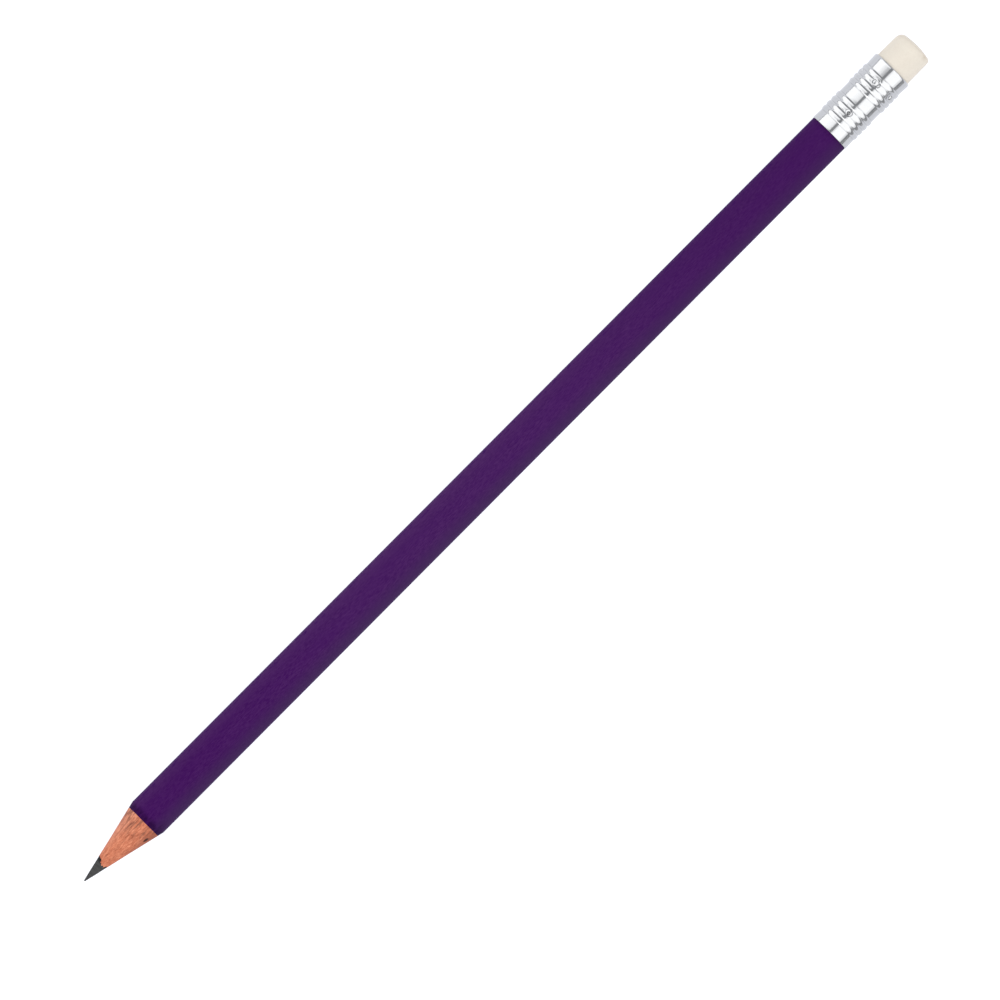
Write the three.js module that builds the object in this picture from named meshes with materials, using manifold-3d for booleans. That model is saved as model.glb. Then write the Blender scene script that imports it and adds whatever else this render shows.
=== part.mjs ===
// A round wooden pencil, sharpened, with a crimped aluminium ferrule and an eraser, lying on its side.
//
// Millimetres, +Z up. The pencil's axis runs along X, with the point towards -X and the eraser towards +X.
// The origin is midway along the pencil, on the surface that it lies on.
//
// Every turned shape is an outline of [x, radius] points about the pencil's axis. Distances called "along"
// are measured along the ferrule, from its open end on the wood.

import * as THREE from "three";
import { mergeVertices } from "three/addons/utils/BufferGeometryUtils.js";
import Module from "manifold-3d";

const wasm = await Module();
wasm.setup();

// ---------------------------------------------------------------------------------------------------
// Driving dimensions
// ---------------------------------------------------------------------------------------------------

const LENGTH = 190; // from the point to the end of the eraser
const SIDES = 32; // flat facets round every turned surface, one of them facing straight down
const CLEARANCE = 0.02; // air left between pieces that touch

// The sharpened point
const CONE_ANGLE = THREE.MathUtils.degToRad(13.45); // between the axis and the sharpened surface
const POINT_WORN = 0.2; // length lost from the perfect point

// The barrel, from the inside out
const CORE_RADIUS = 1.1;
const GLUE_THICKNESS = 0.06;
const LACQUER_THICKNESS = 0.2;
const BARREL_RADIUS = 3.525; // over the lacquer

// The ferrule, rolled from thin sheet
const FERRULE_LENGTH = 14.5;
const FERRULE_RADIUS = 3.6; // outside, where it is plain
const SHEET_THICKNESS = 0.25;
const MOUTH_FLARE = 0.045; // how far the open end on the wood stands out
const MOUTH_FLARE_LENGTH = 1;
const COLLAR_RADIUS = 3.715; // outside, at the start of the rolled rim
const RIM_LENGTH = 0.55; // the rim that rolls in over the eraser
const RIM_LIP = 0.05; // thickness left at the rim's very edge
const RIM_STEPS = 3;

// Two rows of rolled beads: the first grips the wood, the second grips the eraser
const BEAD_ROWS = [
  { start: 1.82, count: 4, pitch: 1.045, radius: 3.6, height: 0.15 },
  { start: 8.03, count: 4, pitch: 1.01, radius: 3.615, height: 0.16 },
];
const BEAD_STEPS_OUTSIDE = 4;
const BEAD_STEPS_INSIDE = 2;

// Two rings of punched dimples; an angle of 0 faces up, and it turns towards -Y
const DIMPLE_ROWS = [
  { along: 4.27, count: 3, firstAngle: 0, mouth: 0.36, depth: 0.4 },
  { along: 11.05, count: 6, firstAngle: -8, mouth: 0.45, depth: 0.42 },
];
const DIMPLE_SIDES = 10;

// The eraser
const ERASER_EXPOSED = 5.5; // length that stands out of the ferrule
const ERASER_RADIUS = 3.373; // where it leaves the ferrule
const ERASER_END_RADIUS = 3.335; // just before its worn corner
const ERASER_CROWN_RADIUS = 10.5;
const ERASER_FLAT = 1; // radius of the flat middle of the crown
const ERASER_CORNER_START = 2.9; // radius at which the crown turns down into the corner
const ERASER_CORNER_LENGTH = 0.65;
const ERASER_CORNER_STEPS = 3;

// Colours of the finished pieces
const FINISHES = {
  graphite: { color: 0x4a4a4a, roughness: 0.55, metalness: 0.1 },
  cedar: { color: 0xd28569, roughness: 0.75, metalness: 0 },
  glue: { color: 0xcbb48a, roughness: 0.4, metalness: 0 },
  lacquer: { color: 0x461e5b, roughness: 0.5, metalness: 0 },
  aluminium: { color: 0xd6d8dc, roughness: 0.2, metalness: 1 },
  eraser: { color: 0xeae2d3, roughness: 0.85, metalness: 0 },
};

// ---------------------------------------------------------------------------------------------------
// Dimensions that follow from those
// ---------------------------------------------------------------------------------------------------

const POINT_X = -LENGTH / 2;
const APEX_X = POINT_X - POINT_WORN;
const ERASER_END_X = LENGTH / 2;
const RIM_X = ERASER_END_X - ERASER_EXPOSED;
const FERRULE_X = RIM_X - FERRULE_LENGTH;

const WOOD_RADIUS = BARREL_RADIUS - LACQUER_THICKNESS;
const FERRULE_BORE = FERRULE_RADIUS - SHEET_THICKNESS;
const TENON_RADIUS = FERRULE_BORE - 2 * CLEARANCE; // the wood is turned down to fit the ferrule
const [WOOD_BEADS, ERASER_BEADS] = BEAD_ROWS;
const WOOD_BEADS_END = WOOD_BEADS.start + WOOD_BEADS.count * WOOD_BEADS.pitch;
const WOOD_END_X = FERRULE_X + (WOOD_BEADS_END + ERASER_BEADS.start) / 2;

const GLUE_BORE = CORE_RADIUS + CLEARANCE;
const GLUE_RADIUS = GLUE_BORE + GLUE_THICKNESS;
const WOOD_BORE = GLUE_RADIUS + CLEARANCE;
const SLAT_GAP = GLUE_THICKNESS + 2 * CLEARANCE;

const WIDEST_RADIUS = Math.max(...BEAD_ROWS.map((row) => row.radius + row.height));
const AXIS_HEIGHT = WIDEST_RADIUS * Math.cos(Math.PI / SIDES); // the widest bead's lowest facet touches

// Where the sharpened surface has the given radius.
function coneX(radius) {
  return APEX_X + radius / Math.tan(CONE_ANGLE);
}

// ---------------------------------------------------------------------------------------------------
// Solids
// ---------------------------------------------------------------------------------------------------

const MERGE_DISTANCE = 1e-4;

function solidFrom(geometry) {
  geometry.deleteAttribute("normal");
  geometry.deleteAttribute("uv");
  const merged = mergeVertices(geometry, MERGE_DISTANCE);
  const mesh = new wasm.Mesh({
    numProp: 3,
    vertProperties: merged.attributes.position.array,
    triVerts: new Uint32Array(merged.index.array),
  });
  return new wasm.Manifold(mesh);
}

// Turns an outline about the X axis. The outline starts at its low-x end on the outside, runs along the
// outside towards +X, and comes back along the bore, or starts and ends on the axis.
function turned(outline) {
  const points = outline.map(([x, radius]) => new THREE.Vector2(radius, x));
  const geometry = new THREE.LatheGeometry(points, SIDES, Math.PI / SIDES);
  geometry.rotateZ(-Math.PI / 2);
  return solidFrom(geometry);
}

function turnedRing(outline) {
  return turned([...outline, outline[0]]);
}

function box(xLength, yLength, zLength, zCentre = 0) {
  const geometry = new THREE.BoxGeometry(xLength, yLength, zLength);
  geometry.translate(0, 0, zCentre);
  return solidFrom(geometry);
}

// A cone that points at the axis from the outside, as a punch does.
function punch(x, angle, tipRadius, mouthAtRadius, mouth) {
  const slope = mouth / (mouthAtRadius - tipRadius);
  const baseRadius = BARREL_RADIUS + 1;
  const height = baseRadius - tipRadius;
  const geometry = new THREE.ConeGeometry(height * slope, height, DIMPLE_SIDES);
  geometry.rotateX(-Math.PI / 2);
  geometry.translate(0, 0, tipRadius + height / 2);
  geometry.rotateX(THREE.MathUtils.degToRad(angle));
  geometry.translate(x, 0, 0);
  return solidFrom(geometry);
}

// Every dimple as one solid, each grown by the same amount in depth and in mouth.
function punches(grow) {
  const cones = DIMPLE_ROWS.flatMap((row) =>
    Array.from({ length: row.count }, (_, i) => {
      const angle = row.firstAngle + (i * 360) / row.count;
      const tipRadius = FERRULE_RADIUS - row.depth - grow;
      return punch(FERRULE_X + row.along, angle, tipRadius, FERRULE_RADIUS, row.mouth + grow);
    }),
  );
  return cones.reduce((all, cone) => all.add(cone));
}

// ---------------------------------------------------------------------------------------------------
// The pieces
// ---------------------------------------------------------------------------------------------------

function graphiteCore() {
  return turned([
    [POINT_X, 0],
    [POINT_X, POINT_WORN * Math.tan(CONE_ANGLE)],
    [coneX(CORE_RADIUS), CORE_RADIUS],
    [WOOD_END_X, CORE_RADIUS],
    [WOOD_END_X, 0],
  ]);
}

// The shape of the whole wooden casing, before it is split, with the given bore and trimmed all over.
function casing(bore, trim) {
  return turnedRing([
    [coneX(bore + trim), bore],
    [coneX(WOOD_RADIUS), WOOD_RADIUS - trim],
    [FERRULE_X, WOOD_RADIUS - trim],
    [FERRULE_X, TENON_RADIUS - trim],
    [WOOD_END_X - trim, TENON_RADIUS - trim],
    [WOOD_END_X - trim, bore],
  ]).subtract(punches(SHEET_THICKNESS + CLEARANCE + trim));
}

// One of the two grooved slats: side is 1 for the upper one and -1 for the lower one.
function woodSlat(side) {
  const height = 2 * BARREL_RADIUS;
  const halfSpace = box(2 * LENGTH, 2 * height, height, (side * (SLAT_GAP + height)) / 2);
  return casing(WOOD_BORE, 0).intersect(halfSpace);
}

// The glue fills the groove round the core and the joint between the slats.
function glueFilm() {
  const joint = box(2 * LENGTH, 4 * BARREL_RADIUS, GLUE_THICKNESS);
  const aroundCore = turned([
    [-LENGTH, 0],
    [-LENGTH, GLUE_RADIUS],
    [LENGTH, GLUE_RADIUS],
    [LENGTH, 0],
  ]);
  return casing(GLUE_BORE, CLEARANCE).intersect(joint.add(aroundCore));
}

function lacquerCoat() {
  const inside = WOOD_RADIUS + CLEARANCE;
  const end = FERRULE_X - CLEARANCE;
  return turnedRing([
    [coneX(inside), inside],
    [coneX(BARREL_RADIUS), BARREL_RADIUS],
    [end, BARREL_RADIUS],
    [end, inside],
  ]);
}

// The outline of one row of beads, each an arch between two creases.
function beads(row, steps) {
  const points = [];
  for (let step = 0; step <= row.count * steps; step++) {
    const phase = (step % steps) / steps;
    const radius = row.radius + row.height * Math.sin(Math.PI * phase);
    points.push([row.start + (row.pitch * step) / steps, radius]);
  }
  return points;
}

// The sheet's outline between the mouth and the rolled rim, on its outside.
function sheetOutline(beadSteps) {
  return [
    [0, FERRULE_RADIUS + MOUTH_FLARE],
    [MOUTH_FLARE_LENGTH / 2, FERRULE_RADIUS + MOUTH_FLARE],
    [MOUTH_FLARE_LENGTH, FERRULE_RADIUS],
    ...beads(WOOD_BEADS, beadSteps),
    ...beads(ERASER_BEADS, beadSteps),
    [FERRULE_LENGTH - RIM_LENGTH, COLLAR_RADIUS],
  ];
}

function rimOutline() {
  const lipRadius = ERASER_RADIUS + CLEARANCE + RIM_LIP;
  const points = [];
  for (let step = 1; step <= RIM_STEPS; step++) {
    const turn = (Math.PI / 2) * (step / RIM_STEPS);
    const along = FERRULE_LENGTH - RIM_LENGTH * (1 - Math.sin(turn));
    points.push([along, lipRadius + (COLLAR_RADIUS - lipRadius) * Math.cos(turn)]);
  }
  points.push([FERRULE_LENGTH, lipRadius - RIM_LIP]);
  return points;
}

function ferrule() {
  const outside = [...sheetOutline(BEAD_STEPS_OUTSIDE), ...rimOutline()];
  const inside = sheetOutline(BEAD_STEPS_INSIDE).map(([along, radius]) => [
    along,
    radius - SHEET_THICKNESS,
  ]);
  const outline = [...outside, ...inside.reverse()];
  const sheet = turnedRing(outline.map(([along, radius]) => [FERRULE_X + along, radius]));

  // Each dimple pushes the sheet in: a bump inside, and a pit of the same shape outside.
  const filled = turned([
    [FERRULE_X, 0],
    [FERRULE_X, FERRULE_RADIUS - SHEET_THICKNESS / 2],
    [RIM_X, FERRULE_RADIUS - SHEET_THICKNESS / 2],
    [RIM_X, 0],
  ]);
  const bumps = punches(SHEET_THICKNESS).intersect(filled);
  return sheet.add(bumps).subtract(punches(0));
}

function eraserEndOutline() {
  const crownX = (radius) =>
    ERASER_END_X - (radius ** 2 - ERASER_FLAT ** 2) / (2 * ERASER_CROWN_RADIUS);
  const cornerTopX = crownX(ERASER_CORNER_START);
  const points = [];
  for (let step = 0; step <= ERASER_CORNER_STEPS; step++) {
    const turn = (Math.PI / 2) * (step / ERASER_CORNER_STEPS);
    const x = cornerTopX - ERASER_CORNER_LENGTH * (1 - Math.sin(turn));
    const reach = ERASER_END_RADIUS - ERASER_CORNER_START;
    points.push([x, ERASER_CORNER_START + reach * Math.cos(turn)]);
  }
  const crownMiddle = (ERASER_CORNER_START + ERASER_FLAT) / 2;
  points.push([crownX(crownMiddle), crownMiddle]);
  points.push([ERASER_END_X, ERASER_FLAT]);
  points.push([ERASER_END_X, 0]);
  return points;
}

function eraser() {
  const innerEnd = WOOD_END_X + CLEARANCE;
  return turned([
    [innerEnd, 0],
    [innerEnd, TENON_RADIUS],
    [RIM_X - RIM_LENGTH, TENON_RADIUS],
    [RIM_X, ERASER_RADIUS],
    ...eraserEndOutline(),
  ]).subtract(punches(SHEET_THICKNESS + CLEARANCE));
}

// ---------------------------------------------------------------------------------------------------
// The assembly
// ---------------------------------------------------------------------------------------------------

function piece(name, solid, finish) {
  const { vertProperties, triVerts } = solid.getMesh();
  const geometry = new THREE.BufferGeometry();
  geometry.setAttribute("position", new THREE.BufferAttribute(vertProperties, 3));
  geometry.setIndex(new THREE.BufferAttribute(triVerts, 1));
  geometry.computeVertexNormals();
  const mesh = new THREE.Mesh(geometry, new THREE.MeshStandardMaterial(FINISHES[finish]));
  mesh.name = name;
  return mesh;
}

const pencil = new THREE.Group();
pencil.position.z = AXIS_HEIGHT;
pencil.add(
  piece("graphite_core", graphiteCore(), "graphite"),
  piece("wood_slat_upper", woodSlat(1), "cedar"),
  piece("wood_slat_lower", woodSlat(-1), "cedar"),
  piece("glue_film", glueFilm(), "glue"),
  piece("lacquer_coat", lacquerCoat(), "lacquer"),
  piece("ferrule", ferrule(), "aluminium"),
  piece("eraser", eraser(), "eraser"),
);

const part = new THREE.Group();
part.add(pencil);

export default part;
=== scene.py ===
"""A round wooden pencil with a crimped ferrule and an eraser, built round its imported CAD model.

The pencil lies along X, with its point towards -X and its eraser towards +X. Lengths are in millimetres
unless a comment says otherwise, and the meshes are in metres. An angle round the pencil's axis is 0
straight up and grows towards -Y. On the ferrule, "along" is the distance from its open end on the wood.
"""

import math
from typing import NamedTuple

import bpy
import numpy as np
from mathutils import Matrix, Vector


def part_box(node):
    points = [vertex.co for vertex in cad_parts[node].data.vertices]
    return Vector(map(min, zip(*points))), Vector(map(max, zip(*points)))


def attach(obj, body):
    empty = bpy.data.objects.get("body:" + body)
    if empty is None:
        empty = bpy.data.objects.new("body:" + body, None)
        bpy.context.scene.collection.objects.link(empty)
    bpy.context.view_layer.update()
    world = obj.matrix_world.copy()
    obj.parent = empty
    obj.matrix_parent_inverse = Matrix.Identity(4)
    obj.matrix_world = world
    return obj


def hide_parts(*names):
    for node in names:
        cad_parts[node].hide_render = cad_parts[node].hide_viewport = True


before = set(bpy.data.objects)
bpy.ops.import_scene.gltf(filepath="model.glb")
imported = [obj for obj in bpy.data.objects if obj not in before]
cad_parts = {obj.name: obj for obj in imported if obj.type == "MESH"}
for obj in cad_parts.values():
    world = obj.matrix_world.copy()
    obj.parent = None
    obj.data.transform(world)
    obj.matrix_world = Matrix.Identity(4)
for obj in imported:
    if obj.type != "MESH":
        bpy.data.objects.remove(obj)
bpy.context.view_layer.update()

# -----------------------------------------------------------------------------------------------------
# Places and sizes that the CAD model gives
# -----------------------------------------------------------------------------------------------------

MM = 0.001
CAD_SIDES = 32  # flat facets round each of the CAD model's turned surfaces
FACET_RADIUS = math.cos(math.pi / CAD_SIDES)  # a facet's distance from the axis, for corners at 1


def span(node):
    """Where a node starts and ends along X."""
    low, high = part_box(node)
    return low.x / MM, high.x / MM


def radius_of(node):
    """The radius of a turned node's widest corners."""
    low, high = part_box(node)
    return (high.y - low.y) / 2 / MM / FACET_RADIUS


POINT_X, CORE_END_X = span("graphite_core")
WOOD_X, WOOD_END_X = span("wood_slat_upper")
LACQUER_END_X = span("lacquer_coat")[1]
FERRULE_X, RIM_X = span("ferrule")
PLUG_X, ERASER_END_X = span("eraser")
AXIS_Z = (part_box("ferrule")[0].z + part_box("ferrule")[1].z) / 2 / MM

CORE_RADIUS = radius_of("graphite_core")
WOOD_RADIUS = radius_of("wood_slat_upper")
BARREL_RADIUS = radius_of("lacquer_coat")
ERASER_RADIUS = radius_of("eraser")
FERRULE_LENGTH = RIM_X - FERRULE_X
SLAT_GAP = (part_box("wood_slat_upper")[0].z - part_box("wood_slat_lower")[1].z) / MM

# The sharpened cone
CONE_ANGLE = math.radians(13.45)  # between its side and the axis
POINT_WORN = 0.2  # length that the point has lost
APEX_X = POINT_X - POINT_WORN  # where the cone would end in a perfect point
SWELL = 0.05  # how much fuller than a plain cone the sharpened point is


def cone_radius(x):
    return (x - APEX_X) * math.tan(CONE_ANGLE)


def cone_x(radius):
    return APEX_X + radius / math.tan(CONE_ANGLE)


def sharpened_radius(x):
    """The radius of the sharpened surface: the cone, fuller near its point."""
    return cone_radius(x) + SWELL * (1 - smooth_step(x - APEX_X, 3, 9))


WOOD_BORE = cone_radius(WOOD_X)

# -----------------------------------------------------------------------------------------------------
# Shape helpers
# -----------------------------------------------------------------------------------------------------


def smooth_step(value, start, end):
    """0 before start, 1 after end, and a smooth rise between them."""
    t = np.clip((value - start) / (end - start), 0, 1)
    return t * t * (3 - 2 * t)


def angle_from(middle, angle):
    """How far round the axis an angle is from a middle one, at most half a turn either way."""
    return (angle - middle + np.pi) % (2 * np.pi) - np.pi


def spaced(*stretches):
    """Positions in a row: each stretch is (start, end, largest step)."""
    rounding = 1e-9
    rows = []
    for start, end, step in stretches:
        count = max(1, math.ceil((end - start) / step - rounding))
        rows.append(np.linspace(start, end, count, endpoint=False))
    rows.append([stretches[-1][1]])
    return np.concatenate(rows)


def ripples(seed, count, most_around, most_along):
    """A smooth random height about 1 high that meets itself round the axis, made of count waves."""
    rng = np.random.default_rng(seed)
    around = rng.integers(-most_around, most_around + 1, count)
    along = rng.uniform(-most_along, most_along, count)
    phase = rng.uniform(0, 2 * np.pi, count)

    def height(x, angle):
        waves = (np.cos(a * angle + k * x + p) for a, k, p in zip(around, along, phase))
        return sum(waves) / math.sqrt(count)

    return height


def surface(x, radius, angle):
    """Points of a turned surface, in metres."""
    x, radius, angle = np.broadcast_arrays(x, radius, angle)
    y = -radius * np.sin(angle)
    z = AXIS_Z + radius * np.cos(angle)
    return np.stack([x, y, z], axis=-1) * MM


def angles_around(count):
    return np.arange(count) * 2 * np.pi / count


def strip_faces(rows, columns, close_rows, close_columns):
    """Quads of a grid of points, facing out where x grows with the row and the angle with the column."""
    row = np.arange(rows if close_rows else rows - 1)[:, None]
    column = np.arange(columns if close_columns else columns - 1)[None, :]
    next_row = (row + 1) % rows
    next_column = (column + 1) % columns
    corners = [
        row * columns + column,
        row * columns + next_column,
        next_row * columns + next_column,
        next_row * columns + column,
    ]
    return np.stack(np.broadcast_arrays(*corners), axis=-1).reshape(-1, 4).tolist()


def tube(grid):
    """A closed tube: the grid's rows go along the outside and back along the bore."""
    rows, columns, _ = grid.shape
    return grid.reshape(-1, 3), strip_faces(rows, columns, True, True)


def solid(grid, start, end):
    """A closed turned solid: start and end are its x where it meets the axis, in millimetres."""
    rows, columns, _ = grid.shape
    faces = strip_faces(rows, columns, False, True)
    tips = surface(np.array([start, end]), 0.0, 0.0)
    first, last = rows * columns, rows * columns + 1
    for column in range(columns):
        following = (column + 1) % columns
        faces.append([first, following, column])
        faces.append([last, (rows - 1) * columns + column, (rows - 1) * columns + following])
    return np.concatenate([grid.reshape(-1, 3), tips]), faces


def half_shell(grid):
    """A closed half tube: each row goes round the outside and back round the bore."""
    rows, columns, _ = grid.shape
    faces = strip_faces(rows, columns, False, True)
    last = (rows - 1) * columns
    for column in range(columns // 2 - 1):
        across = columns - 1 - column
        faces.append([column + 1, column, across, across - 1])
        faces.append([last + column, last + column + 1, last + across - 1, last + across])
    return grid.reshape(-1, 3), faces


SHARP_EDGE = math.radians(40)  # an edge with a sharper bend than this isn't shaded smooth


def make_piece(name, shape, material, slot, *nodes):
    """A piece of the pencil, which stands for some CAD nodes."""
    points, faces = shape
    mesh = bpy.data.meshes.new(name)
    mesh.from_pydata(points.tolist(), [], faces)
    mesh.polygons.foreach_set("use_smooth", [True] * len(mesh.polygons))
    mesh.set_sharp_from_angle(angle=SHARP_EDGE)
    mesh.materials.append(material)
    piece = bpy.data.objects.new(name, mesh)
    bpy.context.scene.collection.objects.link(piece)
    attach(piece, "root")
    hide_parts(*nodes)
    return piece


# -----------------------------------------------------------------------------------------------------
# Material helpers
# -----------------------------------------------------------------------------------------------------


def seen(red, green, blue):
    """The surface colour that looks like this one, from 0 to 255, on a face that faces up in this scene."""
    parts = [c / 255 for c in (red, green, blue)]
    linear = [c / 12.92 if c <= 0.04045 else ((c + 0.055) / 1.055) ** 2.4 for c in parts]
    return (*(c / LIGHT_ON_TOP for c in linear), 1.0)


def grey(level):
    return (level, level, level, 1.0)


class Shader:
    """A material with one Principled shader, and short ways to add the nodes that drive it."""

    def __init__(self, name, **values):
        self.material = bpy.data.materials.new(name)
        self.material.use_nodes = True
        self.tree = self.material.node_tree
        self.principled = self.tree.nodes["Principled BSDF"]
        self.position = self.node("ShaderNodeTexCoord").outputs["Object"]
        for socket, value in values.items():
            self.principled.inputs[socket.replace("_", " ")].default_value = value

    def node(self, kind, inputs=None, **settings):
        made = self.tree.nodes.new(kind)
        for name, value in settings.items():
            setattr(made, name, value)
        for key, value in (inputs or {}).items():
            if isinstance(value, bpy.types.NodeSocket):
                self.tree.links.new(value, made.inputs[key])
            else:
                made.inputs[key].default_value = value
        return made

    def drive(self, socket, value):
        self.tree.links.new(value, self.principled.inputs[socket])

    def stretched(self, per_mm):
        """The position with X, Y and Z scaled to so many units per millimetre."""
        scale = [rate / MM for rate in per_mm]
        return self.node("ShaderNodeMapping", {"Vector": self.position, "Scale": scale}).outputs[0]

    def noise(self, per_mm, detail=3.0, roughness=0.55, seed=0.0, distortion=0.0):
        """Noise from about 0 to 1, with a grain of so many cells per millimetre along X, Y and Z."""
        inputs = {
            "Vector": self.stretched(per_mm),
            "W": seed,
            "Scale": 1.0,
            "Detail": detail,
            "Roughness": roughness,
            "Distortion": distortion,
        }
        return self.node("ShaderNodeTexNoise", inputs, noise_dimensions="4D").outputs["Fac"]

    def ranged(self, value, start, end, low=0.0, high=1.0):
        """The value, where start to end becomes low to high, smoothly and held at both ends."""
        inputs = {"Value": value, "From Min": start, "From Max": end, "To Min": low, "To Max": high}
        made = self.node("ShaderNodeMapRange", inputs, interpolation_type="SMOOTHSTEP")
        return made.outputs["Result"]

    def math(self, operation, first, second=0.0):
        return self.node("ShaderNodeMath", {0: first, 1: second}, operation=operation).outputs[0]

    def mix(self, factor, first, second):
        """The first colour where factor is 0, and the second where it is 1."""
        inputs = {"Factor": factor, 6: first, 7: second}
        return self.node("ShaderNodeMix", inputs, data_type="RGBA").outputs[2]

    def distance_along(self, axis):
        """The position along X, Y or Z, in millimetres."""
        parts = self.node("ShaderNodeSeparateXYZ", {"Vector": self.position})
        return self.math("DIVIDE", parts.outputs[axis], MM)

    def vector_math(self, operation, *vectors):
        return self.node("ShaderNodeVectorMath", dict(enumerate(vectors)), operation=operation)

    def spot(self, middle, reach, strength):
        """A soft spot, strength in its middle and 0 at its reach along X, Y and Z, all in millimetres."""
        offset = self.vector_math("SUBTRACT", self.position, [c * MM for c in middle]).outputs[0]
        scaled = self.vector_math("DIVIDE", offset, [r * MM for r in reach]).outputs[0]
        distance = self.vector_math("LENGTH", scaled).outputs["Value"]
        return self.ranged(distance, 0.0, 1.0, strength, 0.0)

    def bump(self, height, depth):
        """Raises the surface by height times depth, in millimetres."""
        inputs = {"Height": height, "Distance": depth * MM, "Strength": 1.0}
        return self.node("ShaderNodeBump", inputs).outputs["Normal"]


# -----------------------------------------------------------------------------------------------------
# Light, floor and camera
# -----------------------------------------------------------------------------------------------------

LIGHT_ON_TOP = 1.38  # brightness of a white surface that faces up
SKY = (0.43, 0.44, 0.46)  # the dim room behind the softboxes
FLOOR_SIZE = 24.0  # metres along each side
FLOOR_GLOW = 0.87
FLOOR_GLOW_COLOUR = (0.98, 1.0, 1.08, 1.0)

# Each softbox: its first and last angle round the axis in degrees, its ends along X in metres, and its
# brightness. Dimmer boxes next to a bright one give it a soft edge, which slants on the left side, and
# the far ones are seen in the sides of the ferrule's beads that face the point.
SOFTBOX_DISTANCE = 1.1  # metres from the pencil
PANEL_WIDEST = 24  # degrees that one flat panel of a softbox may cover
SOFTBOXES = {
    "right": (13, 66, -2.2, 2.0, 1.64),
    "right_inner_edge": (6, 13, -2.2, 2.0, 1.3),
    "right_outer_edge": (66, 77, -2.2, 2.0, 1.2),
    "left": (-86, -45, -1.4, 0.9, 1.67),
    "left_edge_1": (-45, -35, 0.1, 0.9, 1.6),
    "left_edge_2": (-35, -25, 0.1, 0.9, 1.54),
    "left_edge_3": (-25, -17, 0.1, 0.9, 1.44),
    "left_edge_4": (-17, -9, 0.1, 0.9, 1.28),
    "left_dim_1": (-45, -35, -0.4, 0.1, 1.42),
    "left_dim_2": (-35, -25, -0.35, 0.1, 1.18),
    "left_dim_3": (-25, -17, -0.3, 0.1, 0.8),
    "left_dim_4": (-17, -9, -0.25, 0.1, 0.55),
    "left_far_1": (-45, -30, -2.0, -0.4, 1.5),
    "left_far_2": (-30, -17, -2.0, -0.3, 1.4),
    "top_far": (-17, 13, -2.2, -0.9, 1.5),
}

# A dark sheet lies just over the floor on the -Y side, and only reflections see it: painted reflected shade
STRIP_NEAR = 33.0  # from the pencil's axis to the strip's near side
STRIP_FAR = 400.0
STRIP_HALF_LENGTH = 400.0
STRIP_HEIGHT = 0.2

# A bright card stands far off beyond the eraser; its sizes are in metres
CARD_DISTANCE = 3.2
CARD_HEIGHT = 0.7
CARD_WIDTH = 3.0
CARD_GAP = 0.02  # between the floor and the card
CARD_BRIGHTNESS = 1.6


def add_panel(name, middle, first_side, second_side, outward, brightness):
    """A flat light that shines back against outward; its sides and middle are vectors in metres."""
    light = bpy.data.lights.new(name, "AREA")
    light.shape = "RECTANGLE"
    light.size = first_side.length
    light.size_y = second_side.length
    light.energy = brightness * math.pi * light.size * light.size_y
    panel = bpy.data.objects.new(name, light)
    turn = Matrix((first_side.normalized(), second_side.normalized(), outward)).transposed()
    panel.matrix_world = Matrix.Translation(middle) @ turn.to_4x4()
    panel.visible_camera = False
    bpy.context.scene.collection.objects.link(panel)


def add_softbox(name, start, end, first_x, last_x, brightness):
    """Flat panels in an arc that covers the angles from start to end, each facing the pencil."""
    count = math.ceil((end - start) / PANEL_WIDEST)
    each = math.radians((end - start) / count)
    width = 2 * SOFTBOX_DISTANCE * math.tan(each / 2)
    along = Vector((1, 0, 0))
    for number in range(count):
        angle = math.radians(start) + each * (number + 0.5)
        outward = Vector((0, -math.sin(angle), math.cos(angle)))
        middle = outward * SOFTBOX_DISTANCE + along * (first_x + last_x) / 2
        sides = along * (last_x - first_x), outward.cross(along) * width
        add_panel(f"{name}_{number}", middle, *sides, outward, brightness)


def add_card():
    middle = Vector((CARD_DISTANCE, 0, CARD_HEIGHT / 2 + CARD_GAP))
    sides = Vector((0, CARD_WIDTH, 0)), Vector((0, 0, CARD_HEIGHT))
    add_panel("card", middle, *sides, Vector((1, 0, 0)), CARD_BRIGHTNESS)


def add_sky():
    world = bpy.data.worlds.new("studio")
    world.use_nodes = True
    world.node_tree.nodes["Background"].inputs["Color"].default_value = (*SKY, 1.0)
    bpy.context.scene.world = world


def add_sheet(name, low, high, height, material):
    """A flat, level sheet between two corners; low and high are X and Y, all in metres."""
    (low_x, low_y), (high_x, high_y) = low, high
    corners = [(low_x, low_y), (high_x, low_y), (high_x, high_y), (low_x, high_y)]
    mesh = bpy.data.meshes.new(name)
    mesh.from_pydata([(x, y, height) for x, y in corners], [], [(0, 1, 2, 3)])
    mesh.materials.append(material)
    sheet = bpy.data.objects.new(name, mesh)
    bpy.context.scene.collection.objects.link(sheet)
    return sheet


def add_floor():
    """A light table: it glows, so the pencil hardly shades it."""
    shader = Shader("pale_floor", Roughness=0.9, Specular_IOR_Level=0.1, Emission_Strength=FLOOR_GLOW)
    shader.principled.inputs["Emission Color"].default_value = FLOOR_GLOW_COLOUR
    cloud = shader.noise((0.01, 0.01, 0.01), detail=2.0)
    shader.drive("Base Color", shader.mix(cloud, grey(0.21), grey(0.23)))
    half = FLOOR_SIZE / 2
    floor = add_sheet("floor", (-half, -half), (half, half), 0.0, shader.material)


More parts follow.
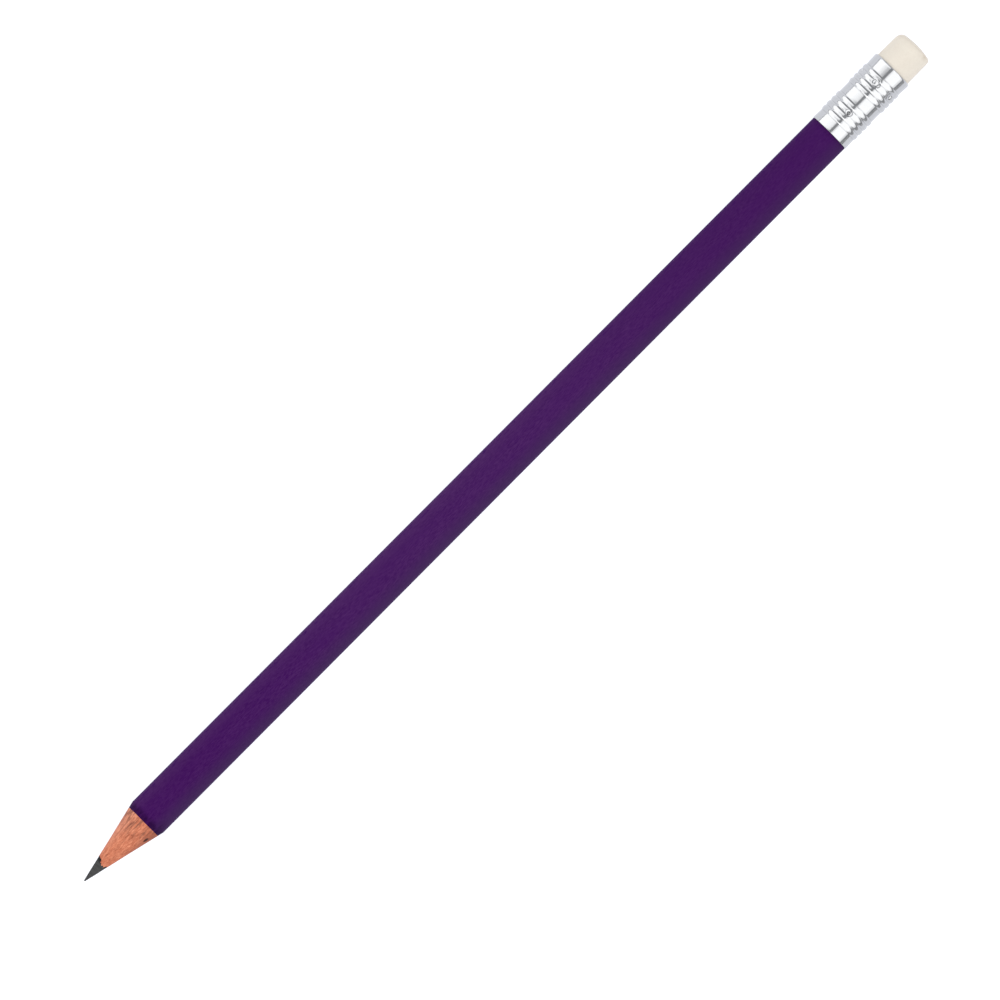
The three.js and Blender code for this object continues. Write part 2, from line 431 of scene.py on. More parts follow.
def add_dark_strip():
    """A dark sheet that stands in for shaded floor, which the ferrule's -Y side reflects as a painted dark
    band.
    """
    shader = Shader("reflected_shade_sheet", Roughness=0.95, Specular_IOR_Level=0.0)
    mottle = shader.noise((2.0, 2.0, 2.0), detail=2.0)
    shader.drive("Base Color", shader.mix(mottle, grey(0.29), grey(0.35)))
    low = (-STRIP_HALF_LENGTH * MM, -STRIP_FAR * MM)
    high = (STRIP_HALF_LENGTH * MM, -STRIP_NEAR * MM)
    strip = add_sheet("dark_strip", low, high, STRIP_HEIGHT * MM, shader.material)
    strip.visible_camera = False
    strip.visible_diffuse = False
    strip.visible_shadow = False


VIEW_WIDTH = 161.0  # across the picture, at the pencil
VIEW_ROLL = math.radians(45.115)  # how far the pencil's axis is turned in the picture
VIEW_CENTRE = (-4.334, -4.142)  # X and Y in the middle of the picture
CAMERA_DISTANCE = 3400.0
CAMERA_LEAN = 72.0  # how far the camera stands towards the point from the picture's middle
SENSOR_WIDTH = 36.0


def add_camera():
    data = bpy.data.cameras.new("camera")
    data.sensor_width = SENSOR_WIDTH
    data.lens = SENSOR_WIDTH * CAMERA_DISTANCE / VIEW_WIDTH
    data.clip_start = 0.1
    data.clip_end = 50.0
    centre = Vector((*VIEW_CENTRE, AXIS_Z)) * MM
    back = Vector((-CAMERA_LEAN, 0, CAMERA_DISTANCE)).normalized()
    right = Vector((math.cos(VIEW_ROLL), -math.sin(VIEW_ROLL), 0))
    right = (right - back * right.dot(back)).normalized()
    camera = bpy.data.objects.new("camera", data)
    turn = Matrix((right, back.cross(right), back)).transposed()
    camera.matrix_world = Matrix.Translation(centre + back * CAMERA_DISTANCE * MM) @ turn.to_4x4()
    bpy.context.scene.collection.objects.link(camera)
    bpy.context.scene.camera = camera


def set_stage():
    add_camera()
    add_sky()
    add_floor()
    add_dark_strip()
    add_card()
    for name, settings in SOFTBOXES.items():
        add_softbox(name, *settings)
    bpy.context.scene.view_settings.view_transform = "Standard"


# -----------------------------------------------------------------------------------------------------
# The ferrule
# -----------------------------------------------------------------------------------------------------

SHEET_THICKNESS = 0.25
PLAIN_RADIUS = 3.6  # outside, where the sheet is plain
MOUTH_FLARE = 0.045  # how far the open end on the wood stands out
COLLAR_RADIUS = 3.715  # outside, where the rim starts to roll in
RIM_LENGTH = 0.38
RIM_LIP = 0.05  # thickness left at the rim's very edge
FIT = 0.02  # air between the ferrule and what it holds
COLLAR_START = FERRULE_LENGTH - RIM_LENGTH


class BeadRow(NamedTuple):
    """A row of rolled beads, one after the other, with a crease on each side of every bead."""

    start: float
    pitch: float
    crease_radius: float
    heights: tuple

    @property
    def end(self):
        return self.start + self.pitch * len(self.heights)

    def creases(self):
        return [self.start + number * self.pitch for number in range(len(self.heights) + 1)]


BEAD_ROWS = [
    BeadRow(1.9, 1.05, 3.585, (0.16, 0.17, 0.18, 0.175)),
    BeadRow(8.1, 1.03, 3.6, (0.18, 0.175, 0.165, 0.17)),
]
BEAD_FULLNESS = 2.6  # 2 is a parabola, and more gives a flatter top and steeper sides
CREASE_SOFTNESS = 1.4  # 1 is a sharp crease between two beads, and more rounds it
ROW_BLEND = 0.4  # length over which plain sheet turns into a row's first or last crease


class DimpleRing(NamedTuple):
    """A ring of punched dimples: each is a small pit in the middle of a wider, shallow dent."""

    along: float
    first_angle: float  # degrees
    count: int
    pit_radius: float
    pit_depth: float
    pit_shade_level: float  # 0 is no painted shade in the pit, and 1 is the darkest
    dent_radius: float
    dent_depth: float

    def angles(self):
        return [math.radians(self.first_angle + 360 / self.count * number) for number in range(self.count)]

    def distance(self, turn, along, angle):
        """How far points of the sheet are from the middle of the ring's dimple at the angle turn."""
        return np.hypot(along - self.along, angle_from(turn, angle) * PLAIN_RADIUS)


DIMPLE_RINGS = [
    DimpleRing(4.3, 0, 3, 0.4, 0.3, 0.65, 0.95, 0.03),
    DimpleRing(10.85, -8, 6, 0.36, 0.13, 0.4, 1.15, 0.07),
]
DIMPLES = [(ring, turn) for ring in DIMPLE_RINGS for turn in ring.angles()]
BEADS_LEFT_IN_DENT = 0.55  # share of the beads' height that is left in the middle of a dent
PIT_LIP = 0.04  # how far the metal stands up round a pit


def sheet_radius(along):
    """The ferrule's outside radius before it is dimpled."""
    radius = PLAIN_RADIUS + MOUTH_FLARE * (1 - smooth_step(along, 0.2, 1.75))
    for row in BEAD_ROWS:
        drop = row.crease_radius - PLAIN_RADIUS
        radius = radius + drop * smooth_step(along, row.start - ROW_BLEND, row.start)
        for number, height in enumerate(row.heights):
            phase = np.clip((along - row.start) / row.pitch - number, 0, 1)
            radius = radius + height * (1 - np.abs(2 * phase - 1) ** BEAD_FULLNESS) ** CREASE_SOFTNESS
        radius = radius - drop * smooth_step(along, row.end, row.end + ROW_BLEND)
    beads_end = BEAD_ROWS[-1].end
    flare = np.clip((along - beads_end) / (COLLAR_START - beads_end), 0, 1)
    return radius + (COLLAR_RADIUS - PLAIN_RADIUS) * flare


def dimpled(radius, along, angle):
    """The radius once the dimples are punched in: a shallow dent that flattens the beads, with a pit."""
    for ring, turn in DIMPLES:
        distance = ring.distance(turn, along, angle)
        dent = 1 - smooth_step(distance, 0.35 * ring.dent_radius, ring.dent_radius)
        pit = 1 - smooth_step(distance, 0.3 * ring.pit_radius, ring.pit_radius)
        lip = np.exp(-(((distance - 1.5 * ring.pit_radius) / (0.4 * ring.pit_radius)) ** 2))
        flattened = (1 - BEADS_LEFT_IN_DENT) * (radius - PLAIN_RADIUS)
        radius = radius - dent * (ring.dent_depth + flattened) - ring.pit_depth * pit + PIT_LIP * lip
    return radius


def ferrule_painted_shade(along, angle):
    """Painted shade on the ferrule, 0 to 1: in the pits, and a little in the creases between the beads."""
    crease_shade_level = 0.35
    crease_reach = 0.07
    shade_level = np.zeros(np.broadcast(along, angle).shape)
    for row in BEAD_ROWS:
        for crease in row.creases():
            shade_level = np.maximum(shade_level, crease_shade_level * np.exp(-(((along - crease) / crease_reach) ** 2)))
    for ring, turn in DIMPLES:
        distance = ring.distance(turn, along, angle)
        reach = 1 - smooth_step(distance, 0.3 * ring.pit_radius, 0.85 * ring.pit_radius)
        shade_level = np.maximum(shade_level, ring.pit_shade_level * reach)
    return shade_level


def rim_radius(along):
    """The outside radius of the rim that rolls in over the eraser."""
    lip = ERASER_RADIUS + FIT + RIM_LIP
    turn = np.clip((along - COLLAR_START) / RIM_LENGTH, 0, 1)
    return lip + (COLLAR_RADIUS - lip) * np.sqrt(1 - turn**2)


def ferrule_outside(along, angle):
    plain = dimpled(sheet_radius(along), along, angle)
    return np.where(along > COLLAR_START, rim_radius(along), plain)


def ferrule_bore(along, angle):
    plain = dimpled(sheet_radius(along), along, angle) - SHEET_THICKNESS
    rim = (along - COLLAR_START) / RIM_LENGTH
    rolled = COLLAR_RADIUS - SHEET_THICKNESS
    rolled = rolled + (ERASER_RADIUS + FIT - rolled) * rim
    return np.where(along > COLLAR_START, rolled, plain)


def angles_round_ferrule(count):
    """Angles round the ferrule, closer together where the dimples are."""
    fine = np.linspace(0, 2 * np.pi, 7200, endpoint=False)
    density = np.ones_like(fine)
    for _, turn in DIMPLES:
        density += 1.6 * np.exp(-((angle_from(turn, fine) / math.radians(9)) ** 2))
    share = np.cumsum(density) / np.sum(density)
    return np.interp((np.arange(count) + 0.5) / count, share, fine)


def along_ferrule(first, last, bead_step, plain_steps):
    """Positions along the ferrule, closer together on its beads than on the plain stretches."""
    margin = 0.06  # the close positions go on a little past each row of beads
    *steps, last_step = plain_steps
    stretches = []
    for row, step in zip(BEAD_ROWS, steps):
        stretches.append((first, row.start - margin, step))
        stretches.append((row.start - margin, row.end + margin, bead_step))
        first = row.end + margin
    return spaced(*stretches, (first, last, last_step))


def make_ferrule():
    angle = angles_round_ferrule(280)
    body = along_ferrule(0.08, COLLAR_START, 0.045, (0.14, 0.2, 0.16))
    rim = COLLAR_START + RIM_LENGTH * np.sin(np.linspace(0, np.pi / 2, 13)[1:])
    outside = np.concatenate([body, rim])
    bore = along_ferrule(0.05, FERRULE_LENGTH, 0.11, (0.25, 0.3, 0.2))[::-1]
    # The open end has a rounded edge, and both of its first two points lie in the end's own plane.
    mouth = np.array([0.0, 0.0, 0.012, 0.04])
    mouth_radius = PLAIN_RADIUS + MOUTH_FLARE - np.array([0.19, 0.06, 0.025, 0.006])
    rows = [
        surface(FERRULE_X + mouth[:, None], mouth_radius[:, None], angle),
        surface(FERRULE_X + outside[:, None], ferrule_outside(outside[:, None], angle), angle),
        surface(FERRULE_X + bore[:, None], ferrule_bore(bore[:, None], angle), angle),
    ]
    shape = tube(np.concatenate(rows))
    ferrule = make_piece("crimped_ferrule", shape, ferrule_metal(), "ferrule_metal", "ferrule")
    # The painted shade in the pits and creases rides on the outside's points as an attribute
    shade_level = np.zeros((len(shape[0]) // len(angle), len(angle)))
    shade_level[len(mouth):len(mouth) + len(outside)] = ferrule_painted_shade(outside[:, None], angle)
    painted_shade = ferrule.data.attributes.new("painted_shade", "FLOAT", "POINT")
    painted_shade.data.foreach_set("value", shade_level.ravel())


def ferrule_metal():
    """Bright drawn aluminium, with faint drawing lines along the sheet and a soft haze."""
    shader = Shader("ferrule_metal", Metallic=1.0)
    haze = shader.noise((0.9, 0.9, 0.9), detail=4.0, seed=2.0)
    lines = shader.noise((0.3, 14.0, 14.0), detail=2.0, seed=5.0)
    tone = shader.mix(haze, (0.458, 0.461, 0.466, 1), (0.496, 0.499, 0.504, 1))
    # Painted shade: darker and rougher metal in the pits and in the creases between the beads
    painted_shade = shader.node("ShaderNodeAttribute", attribute_name="painted_shade").outputs["Fac"]
    tone = shader.mix(shader.ranged(painted_shade, 0.0, 1.0, 0.0, 0.8), tone, (0.1, 0.1, 0.105, 1))
    shader.drive("Base Color", tone)
    clean = shader.ranged(haze, 0.3, 0.7, 0.1, 0.15)
    shader.drive("Roughness", shader.math("ADD", clean, shader.ranged(painted_shade, 0.0, 1.0, 0.0, 0.3)))
    shader.drive("Normal", shader.bump(lines, 0.0012))
    return shader.material


# -----------------------------------------------------------------------------------------------------
# The eraser
# -----------------------------------------------------------------------------------------------------

CROWN_RADIUS = 13.0  # of the slightly domed end
CORNER_WIDTH = 0.6  # how far in from the side the rounded corner of the end reaches
CORNER_LENGTH = 0.8
CORNER_WEAR = 0.55  # how much longer and wider the corner is where it has been rubbed away most
WORN_SIDE = math.radians(-80)
ERASER_END_RADIUS = 3.335  # just before the corner
OUT_OF_ROUND = 0.004  # share of the radius that rubbing has made uneven


def eraser_end_profile(angle):
    """Distances back from the end, and radii, from the corner's start in to the middle of the crown."""
    wear = CORNER_WEAR * np.exp(1.5 * (np.cos(angle - WORN_SIDE) - 1))
    crown_edge = ERASER_END_RADIUS - CORNER_WIDTH - wear
    turn = np.linspace(0, np.pi / 2, 14)[:, None]
    crown = crown_edge * (1 - np.linspace(0, 1, 18)[1:-1, None])
    corner_back = crown_edge**2 / (2 * CROWN_RADIUS) + (CORNER_LENGTH + wear) * (1 - np.sin(turn))
    corner_radius = crown_edge + (ERASER_END_RADIUS - crown_edge) * np.cos(turn)
    back = np.concatenate([corner_back, crown**2 / (2 * CROWN_RADIUS)])
    return back, np.concatenate([corner_radius, crown])


def make_eraser():
    angle = angles_around(224)
    plug = spaced((PLUG_X, RIM_X - RIM_LENGTH, 0.12), (RIM_X - RIM_LENGTH, RIM_X, 0.09))[:-1, None]
    plug_along = plug - FERRULE_X
    plug_radius = np.minimum(ERASER_RADIUS, ferrule_bore(plug_along, angle) - FIT)
    back, end_radius = eraser_end_profile(angle)
    taper = np.linspace(0, 1, 32, endpoint=False)[:, None]
    free = RIM_X + (ERASER_END_X - back[0] - RIM_X) * taper
    free_radius = ERASER_RADIUS + (ERASER_END_RADIUS - ERASER_RADIUS) * taper

    # The free end is rubbed a little out of round, more so towards its corner.
    worn = ripples(11, 9, 5, 0.5)
    end_x = ERASER_END_X - back
    free_radius = free_radius * (1 + OUT_OF_ROUND * taper * worn(free, angle))
    end_radius = end_radius * (1 + OUT_OF_ROUND * worn(end_x, angle))
    rows = [
        surface(plug, plug_radius, angle),
        surface(free, free_radius, angle),
        surface(end_x, end_radius, angle),
    ]
    shape = solid(np.concatenate(rows), PLUG_X, ERASER_END_X)
    make_piece("plug_eraser", shape, eraser_rubber(), "eraser_rubber", "eraser")


def eraser_rubber():
    """Soft off-white vinyl with fine specks, a few dark crumbs, and a slightly soiled end."""
    shader = Shader("eraser_rubber", Specular_IOR_Level=0.2, Sheen_Weight=0.08, Sheen_Roughness=0.5)
    cloud = shader.noise((0.5, 0.5, 0.5), detail=3.0, seed=1.0)
    grain = shader.noise((7.0, 7.0, 7.0), detail=3.0, seed=2.0)
    crumbs = shader.noise((3.2, 3.2, 3.2), detail=1.0, seed=3.7)
    tone = shader.mix(cloud, seen(222, 213, 200), seen(230, 223, 210))
    tone = shader.mix(shader.ranged(grain, 0.35, 0.75, 0.0, 0.35), tone, seen(209, 198, 182))
    tone = shader.mix(shader.ranged(crumbs, 0.76, 0.8, 0.0, 0.5), tone, seen(150, 132, 112))
    soiled = shader.ranged(shader.distance_along("X"), ERASER_END_X - 1.4, ERASER_END_X - 0.2, 0.0, 0.22)
    tone = shader.mix(shader.math("MULTIPLY", soiled, cloud), tone, seen(206, 187, 164))
    smudge = shader.spot((ERASER_END_X - 0.6, -2.3, AXIS_Z + 2.3), (0.9, 0.7, 0.9), 0.45)
    tone = shader.mix(shader.math("MULTIPLY", smudge, grain), tone, seen(160, 135, 108))
    shader.drive("Base Color", tone)
    shader.drive("Roughness", shader.ranged(cloud, 0.3, 0.7, 0.78, 0.9))
    shader.drive("Normal", shader.bump(grain, 0.012))
    return shader.material


# -----------------------------------------------------------------------------------------------------
# The lacquered barrel
# -----------------------------------------------------------------------------------------------------

LACQUER_SOAK = 0.05  # how far the first coat soaks into the wood
CUT_EDGE_X = cone_x(WOOD_RADIUS - LACQUER_SOAK)  # where the sharpener's cut leaves the wood
SHOULDER_X = cone_x(BARREL_RADIUS)  # where it leaves the lacquer
BARREL_UNEVEN = 0.004  # how far the barrel's radius wanders


def cut_edge(angle):
    """Where the lacquer's sharpened edge starts: nearly a plain ring, with small nicks."""
    wander = ripples(21, 10, 7, 0.0)(0.0, angle)
    nicks = ripples(22, 14, 60, 0.0)(0.0, angle)
    return CUT_EDGE_X + 0.02 * wander + 0.05 * np.clip(nicks - 1.2, 0, 1)


def make_lacquer():
    angle = angles_around(256)
    edge = cut_edge(angle)
    share = spaced((0.0, 1.0, 0.09))[:, None]
    cut_x = edge + (SHOULDER_X - 0.03 - edge) * share
    cut_radius = cone_radius(cut_x)
    # The shoulder and the end at the ferrule are a little rounded.
    shoulder_x = SHOULDER_X + np.array([0.0, 0.03, 0.07])[:, None]
    shoulder_radius = BARREL_RADIUS - np.array([0.004, 0.001, 0.0])[:, None]
    near_end = LACQUER_END_X - 1.0
    barrel_x = spaced((SHOULDER_X + 0.2, near_end, 2.0), (near_end, LACQUER_END_X, 0.2))[:-1, None]
    uneven = ripples(23, 16, 9, 0.25)
    barrel_radius = BARREL_RADIUS + BARREL_UNEVEN * uneven(barrel_x, angle) - BARREL_UNEVEN
    end_x = LACQUER_END_X - np.array([0.03, 0.008, 0.0])[:, None]
    end_radius = BARREL_RADIUS - np.array([0.006, 0.02, 0.05])[:, None]
    inside = WOOD_RADIUS - LACQUER_SOAK + 0.005  # just clear of the wood
    bore_x = spaced((SHOULDER_X, LACQUER_END_X, 8.0))[::-1, None]
    inner_edge_x = edge + 0.02
    rows = [
        surface(cut_x, cut_radius, angle),
        surface(shoulder_x, shoulder_radius, angle),
        surface(barrel_x, barrel_radius, angle),
        surface(end_x, end_radius, angle),
        surface(bore_x, inside, angle),
        surface(inner_edge_x[None, :], inside - 0.004, angle),
    ]
    make_piece("lacquered_barrel", tube(np.concatenate(rows)), lacquer(), "lacquer", "lacquer_coat")


def lacquer():
    """Matte dark purple lacquer over wood: the fibres show through as short streaks along the barrel.

    Painted light makes it palest midway along and darker towards both ends and the ferrule; painted sheen
    makes it greyer along both sides. It is scuffed dark at the cut. Short dark dashes lie along its +Y
    side.
    """
    shader = Shader("lacquer", Specular_IOR_Level=0.008, Roughness=0.5, Sheen_Weight=0.008)
    fibres = shader.noise((1.2, 10.0, 10.0), detail=4.0, roughness=0.7, seed=1.0, distortion=0.3)
    cloud = shader.noise((0.06, 0.6, 0.6), detail=2.0, seed=2.0)
    specks = shader.noise((0.9, 4.5, 4.5), detail=1.5, seed=3.0)
    tone = shader.mix(shader.ranged(fibres, 0.38, 0.62), seen(52, 3, 77), seen(73, 34, 93))
    tone = shader.mix(shader.ranged(cloud, 0.35, 0.65, 0.0, 0.35), tone, seen(62, 16, 87))
    tone = shader.mix(shader.ranged(specks, 0.62, 0.72, 0.0, 0.5), tone, seen(53, 2, 82))
    along = shader.distance_along("X")
    # Painted light: palest midway along the barrel and darker towards both ends, as the softboxes fall on
    # it
    from_middle = shader.math("ABSOLUTE", along)
    tone = shader.mix(shader.ranged(from_middle, 30, 85, 0.0, 0.4), tone, seen(60, 18, 82))
    tone = shader.mix(shader.ranged(from_middle, 75, 15, 0.0, 0.25), tone, seen(74, 42, 92))
    across = shader.distance_along("Y")
    # Painted sheen: paler on the +Y side, towards the brighter softboxes, mostly on the point's half, and
    # greyer on -Y
    painted_lit_side = shader.ranged(across, 1.3, 3.0, 0.0, 0.3)
    painted_lit_side = shader.math("MULTIPLY", painted_lit_side, shader.ranged(along, 0, 50, 1.0, 0.1))
    tone = shader.mix(painted_lit_side, tone, seen(82, 46, 98))
    tone = shader.mix(shader.ranged(across, -0.6, -3.1, 0.0, 0.5), tone, seen(62, 44, 78))
    # Painted light: darker towards the ferrule
    tone = shader.mix(shader.ranged(along, 10, 50, 0.0, 0.3), tone, seen(60, 24, 80))
    dashes = shader.noise((0.9, 3.0, 3.0), detail=1.0, seed=6.0)
    dashes = shader.ranged(dashes, 0.57, 0.62, 0.0, 0.9)
    dashes = shader.math("MULTIPLY", dashes, shader.ranged(across, 2.5, 3.1))
    tone = shader.mix(dashes, tone, seen(54, 6, 82))
    at_ferrule = shader.ranged(along, LACQUER_END_X - 1.0, LACQUER_END_X, 0.0, 0.25)
    worn_cut = shader.ranged(shader.noise((0.5, 2.0, 2.0), detail=2.0, seed=4.0), 0.35, 0.6, 0.3, 0.75)
    at_cut = shader.ranged(along, SHOULDER_X + 0.6, SHOULDER_X - 0.5)
    scuffed = shader.spot((SHOULDER_X - 0.2, -2.6, AXIS_Z + 2.2), (2.2, 1.7, 1.7), 0.9)
    ends = shader.math("MAXIMUM", at_ferrule, shader.math("MULTIPLY", at_cut, worn_cut))
    ends = shader.math("MAXIMUM", ends, shader.math("MULTIPLY", scuffed, worn_cut))
    shader.drive("Base Color", shader.mix(ends, tone, seen(32, 4, 48)))
    shader.drive("Normal", shader.bump(fibres, 0.01))
    return shader.material


# -----------------------------------------------------------------------------------------------------
# The wood
# -----------------------------------------------------------------------------------------------------

FEATHER_EDGE = 0.015  # thickness of the wood's thinnest edge, below the sharpened surface
WOOD_START = 4.84  # from the apex to the wood's torn edge, before it wanders
TONGUE_LENGTH = 0.7  # how far one side of the edge reaches on towards the tip
TONGUE_ANGLE = math.radians(20)
SPLINTERS = 20


def wood_edge(angle):
    """Where the wood starts over the core: torn into splinters that point at the tip."""
    rng = np.random.default_rng(31)
    tongue = TONGUE_LENGTH * np.exp(3.2 * (np.cos(angle - TONGUE_ANGLE) - 1))
    wander = 0.05 * ripples(32, 6, 5, 0.0)(0.0, angle) - 0.12 * np.sin(angle)
    reach = np.zeros_like(angle)
    for turn in np.radians(np.arange(0, 360, 360 / SPLINTERS) + rng.uniform(-6, 6, SPLINTERS)):
        half_width = math.radians(rng.uniform(6, 12))
        length = rng.uniform(0.08, 0.36)
        around = np.abs(angle_from(turn, angle))
        reach = np.maximum(reach, length * np.clip(1 - around / half_width, 0, 1) ** 0.8)
    return APEX_X + WOOD_START - tongue + wander - reach


def wood_outside(x, angle):
    """The sharpened cone with its grain standing out a little, the round under the lacquer, the tenon."""
    grain = ripples(41, 60, 110, 0.35)(x, angle)
    torn = ripples(42, 40, 70, 2.5)(x, angle)
    relief = 0.006 * grain - 0.012 * np.clip(torn - 1.1, 0, 1)
    proud = 0.008  # how far the wood stands out of the plain sharpened surface
    cone = sharpened_radius(x) + proud + relief * smooth_step(x, APEX_X + 4.0, APEX_X + 6.0)
    hidden = np.minimum(WOOD_RADIUS - LACQUER_SOAK, cone)
    tenon = np.minimum(hidden, ferrule_bore(x - FERRULE_X, angle) - FIT)
    return np.where(x > FERRULE_X - 0.5, tenon, hidden)


def wood_inside(x):
    return np.minimum(WOOD_BORE, sharpened_radius(x) - FEATHER_EDGE)


def slat_positions(edge):
    """Positions along a slat: from its torn edge to just under the lacquer, then on to its end."""
    near = spaced((0.0, 1.2, 0.05), (1.2, 10.4, 0.13))
    crimp_start = FERRULE_X + 3.0
    crimp_end = FERRULE_X + 5.6
    far = spaced((CUT_EDGE_X + 0.7, FERRULE_X - 1.0, 9.0), (FERRULE_X - 1.0, crimp_start, 0.4),
                 (crimp_start, crimp_end, 0.13), (crimp_end, WOOD_END_X, 0.4))
    fit = (CUT_EDGE_X + 0.3 - edge) / near[-1]
    far_rows = np.broadcast_to(far[:, None], (len(far), len(edge)))
    return np.concatenate([edge + near[:, None] * fit, far_rows])


def slat_edge_angle(radius):
    """The angle from a slat's middle to its flat face, which leaves half of the joint's gap."""
    return np.arccos(SLAT_GAP / 2 / radius)


def make_slat(name, node, middle_angle, material):
    """One grooved half of the casing, centred on an angle."""
    share = np.linspace(-1, 1, 300)
    half_round = middle_angle + share * np.pi / 2
    x = slat_positions(wood_edge(half_round))
    outer_angle = middle_angle + share * slat_edge_angle(wood_outside(x, half_round))
    outside = surface(x, wood_outside(x, outer_angle), outer_angle)
    bore = wood_inside(x)
    inside = surface(x, bore, middle_angle + share * slat_edge_angle(bore))
    grid = np.concatenate([outside, inside[:, ::-1]], axis=1)
    make_piece(name, half_shell(grid), material, "cedar", node)


# Brown smudges along the grain: distance from the apex, Y, length and width each way, and strength
CEDAR_SMUDGES = [
    (11.6, 1.13, 2.0, 0.32, 0.95),
    (12.3, 0.2, 1.4, 0.24, 0.7),
    (12.2, -1.45, 1.4, 0.24, 0.8),
    (12.5, 2.05, 1.1, 0.2, 0.7),
    (5.4, 0.35, 0.5, 0.12, 0.6),
]


def cedar():
    """Bare reddish cedar: straight grain along X, dark pores, and brown streaks towards the lacquer."""
    shader = Shader("cedar", Specular_IOR_Level=0.15)
    fibres = shader.noise((0.35, 4.0, 4.0), detail=4.0, roughness=0.75, seed=1.0)
    flecks = shader.noise((0.7, 9.0, 6.0), detail=3.0, seed=2.0)
    pores = shader.noise((0.5, 7.5, 5.0), detail=2.0, seed=3.0)
    streaks = shader.noise((0.25, 3.2, 1.8), detail=3.0, seed=4.3)
    tone = shader.mix(shader.ranged(fibres, 0.27, 0.73), seen(172, 87, 58), seen(238, 156, 121))
    tone = shader.mix(shader.ranged(flecks, 0.42, 0.7, 0.0, 0.65), tone, seen(184, 98, 68))
    tone = shader.mix(shader.ranged(pores, 0.55, 0.68, 0.0, 0.75), tone, seen(136, 70, 49))
    across = shader.distance_along("Y")
    # Painted light: paler on the +Y side, towards the brighter softboxes, and painted shade on the -Y side
    painted_lit_side = shader.ranged(across, 0.4, 2.4, 0.0, 0.3)
    tone = shader.mix(painted_lit_side, tone, seen(228, 164, 140))
    painted_shaded_side = shader.ranged(across, -1.1, -2.8, 0.0, 0.7)
    tone = shader.mix(painted_shaded_side, tone, seen(150, 82, 60))
    near_lacquer = shader.ranged(shader.distance_along("X"), APEX_X + 7.5, CUT_EDGE_X, 0.15, 1.0)
    streaks = shader.math("MULTIPLY", shader.ranged(streaks, 0.48, 0.64, 0.0, 0.75), near_lacquer)
    tone = shader.mix(streaks, tone, seen(122, 74, 58))
    for along, y, length, width, strength in CEDAR_SMUDGES:
        height = math.sqrt(cone_radius(APEX_X + along) ** 2 - y**2)
        smudge = shader.spot((APEX_X + along, y, AXIS_Z + height), (length, width, 2 * width), strength)
        smudge = shader.math("MULTIPLY", smudge, shader.ranged(fibres, 0.7, 0.35, 0.4, 1.0))
        tone = shader.mix(smudge, tone, seen(106, 66, 54))
    # A darker patch on the -Y side, next to the lacquer
    dark_patch = shader.spot((CUT_EDGE_X - 0.5, -2.9, AXIS_Z + 1.2), (1.8, 0.9, 1.0), 0.6)
    tone = shader.mix(shader.math("MULTIPLY", dark_patch, fibres), tone, seen(96, 54, 44))
    fleck = shader.spot((APEX_X + 11.85, -2.38, AXIS_Z + 1.55), (0.7, 0.36, 0.5), 2.6)
    tone = shader.mix(shader.math("MINIMUM", fleck, 0.95), tone, seen(62, 32, 26))
    shader.drive("Base Color", tone)
    shader.drive("Roughness", shader.ranged(fibres, 0.3, 0.7, 0.62, 0.78))
    shader.drive("Normal", shader.bump(shader.math("SUBTRACT", fibres, pores), 0.02))
    return shader.material


# -----------------------------------------------------------------------------------------------------
# The core and the glue
# -----------------------------------------------------------------------------------------------------

CORE_DIP = 0.02  # how far the sharpened core lies below the plain sharpened surface at the wood
CORE_FRONT_RADIUS = WOOD_BORE - 0.012  # the core under the wood's torn edge, where it hides the glue


def core_nose():
    """The worn point as part of a ball that the cone touches: x and radius, from the tip back."""
    sine = math.sin(CONE_ANGLE)
    swollen = SWELL / math.tan(CONE_ANGLE)
    ball_x = APEX_X - swollen + (POINT_WORN + swollen) / (1 - sine)
    ball_radius = ball_x - POINT_X
    turn = np.linspace(0.25, 1, 5) * (math.pi / 2 - CONE_ANGLE)
    return ball_x - ball_radius * np.cos(turn), ball_radius * np.sin(turn)


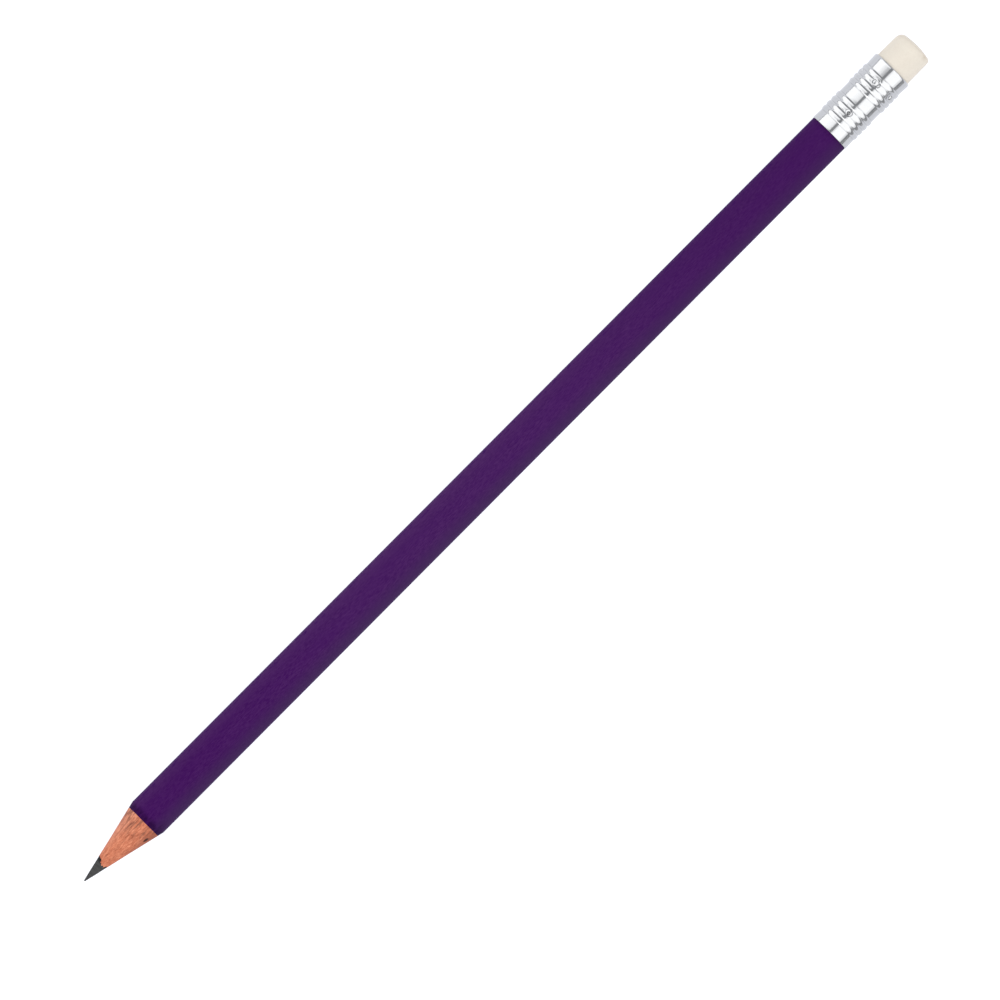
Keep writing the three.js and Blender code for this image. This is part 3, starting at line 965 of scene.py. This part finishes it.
def make_core():
    angle = angles_around(128)
    nose_x, nose_radius = core_nose()
    cone_end = APEX_X + 5.3  # well inside the wood
    x = spaced((nose_x[-1] + 0.05, cone_end, 0.07))[:, None]
    # Sharpening leaves shallow turning marks and slightly flat sides.
    marks = ripples(51, 20, 3, 22.0)(x, angle)
    flats = ripples(52, 5, 4, 0.4)(x, angle)
    rough = smooth_step(x, nose_x[-1], nose_x[-1] + 1.5)
    radius = sharpened_radius(x) - CORE_DIP * smooth_step(x, APEX_X + 2.0, APEX_X + 3.8)
    radius = np.minimum(radius + rough * (0.0035 * marks + 0.006 * flats), CORE_FRONT_RADIUS)
    rest = spaced((cone_end + 0.5, CORE_END_X, 20.0))[:, None]
    rows = [
        surface(nose_x[:, None], nose_radius[:, None], angle),
        surface(x, radius, angle),
        surface(rest, CORE_RADIUS, angle),
    ]
    shape = solid(np.concatenate(rows), POINT_X, CORE_END_X)
    make_piece("pencil_lead", shape, graphite(), "graphite", "graphite_core")


def graphite():
    """Dull dark graphite with turning marks from the sharpener, and painted shade where it meets the wood.
    """
    shader = Shader("graphite", Metallic=0.06, Specular_IOR_Level=0.02)
    marks = shader.noise((9.0, 0.5, 0.5), detail=3.0, seed=1.0)
    grain = shader.noise((12.0, 12.0, 12.0), detail=2.0, seed=2.0)
    tone = shader.mix(shader.ranged(marks, 0.3, 0.7), seen(60, 60, 60), seen(83, 83, 82))
    tone = shader.mix(shader.ranged(grain, 0.5, 0.7, 0.0, 0.4), tone, seen(52, 52, 52))
    # Painted shade: the graphite darkens towards the wood's torn edge
    shade_at_wood = shader.ranged(shader.distance_along("X"), APEX_X + 3.7, APEX_X + 4.5, 0.0, 0.85)
    shader.drive("Base Color", shader.mix(shade_at_wood, tone, seen(26, 25, 25)))
    shader.drive("Roughness", shader.ranged(grain, 0.3, 0.7, 0.42, 0.55))
    shader.drive("Normal", shader.bump(marks, 0.008))
    return shader.material


def dried_glue():
    """The thin line of dried glue between the slats."""
    shader = Shader("dried_glue", Specular_IOR_Level=0.4)
    cloud = shader.noise((0.8, 3.0, 3.0), detail=3.0, seed=1.0)
    shader.drive("Base Color", shader.mix(cloud, seen(150, 100, 66), seen(196, 150, 108)))
    shader.drive("Roughness", shader.ranged(cloud, 0.3, 0.7, 0.35, 0.55))
    shader.drive("Normal", shader.bump(cloud, 0.01))
    return shader.material


def dress_glue():
    """The CAD glue film is already the right shape, so it only gets its material."""
    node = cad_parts["glue_film"]
    node.data.materials.clear()
    node.data.materials.append(dried_glue())


# -----------------------------------------------------------------------------------------------------
# The whole
# -----------------------------------------------------------------------------------------------------

set_stage()
wood = cedar()
make_core()
make_slat("cedar_upper", "wood_slat_upper", 0.0, wood)
make_slat("cedar_lower", "wood_slat_lower", math.pi, wood)
dress_glue()
make_lacquer()
make_ferrule()
make_eraser()

bpy.context.view_layer.update()
